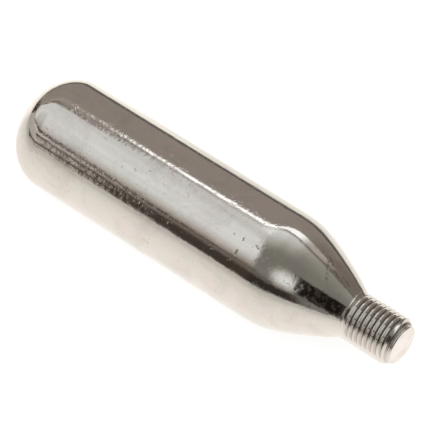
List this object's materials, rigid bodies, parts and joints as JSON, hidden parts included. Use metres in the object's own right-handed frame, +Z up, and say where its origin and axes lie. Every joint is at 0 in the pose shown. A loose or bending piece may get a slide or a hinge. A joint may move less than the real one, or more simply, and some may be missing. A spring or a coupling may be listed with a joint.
{
  "type": "threaded carbon dioxide cartridge",
  "caption": "Sealed steel gas cartridge with a domed base, straight barrel, tapered shoulder, threaded neck and flat welded seal, lying on its side.",
  "frame": {"origin": "on the surface that the cartridge lies on, under the middle of its length", "axes": "+X along the cartridge towards its threaded neck, +Z up"},
  "size_m": [0.088, 0.0222, 0.0223],
  "materials": {
    "plated_steel": "bright nickel-like plating over drawn steel, finely pitted and smudged",
    "seal_steel": "plated steel disc, flat and slightly duller than the shell"
  },
  "bodies": {
    "root": {"cartridge_shell": "plated_steel", "seal_cap": "seal_steel"}
  },
  "joints": []
}
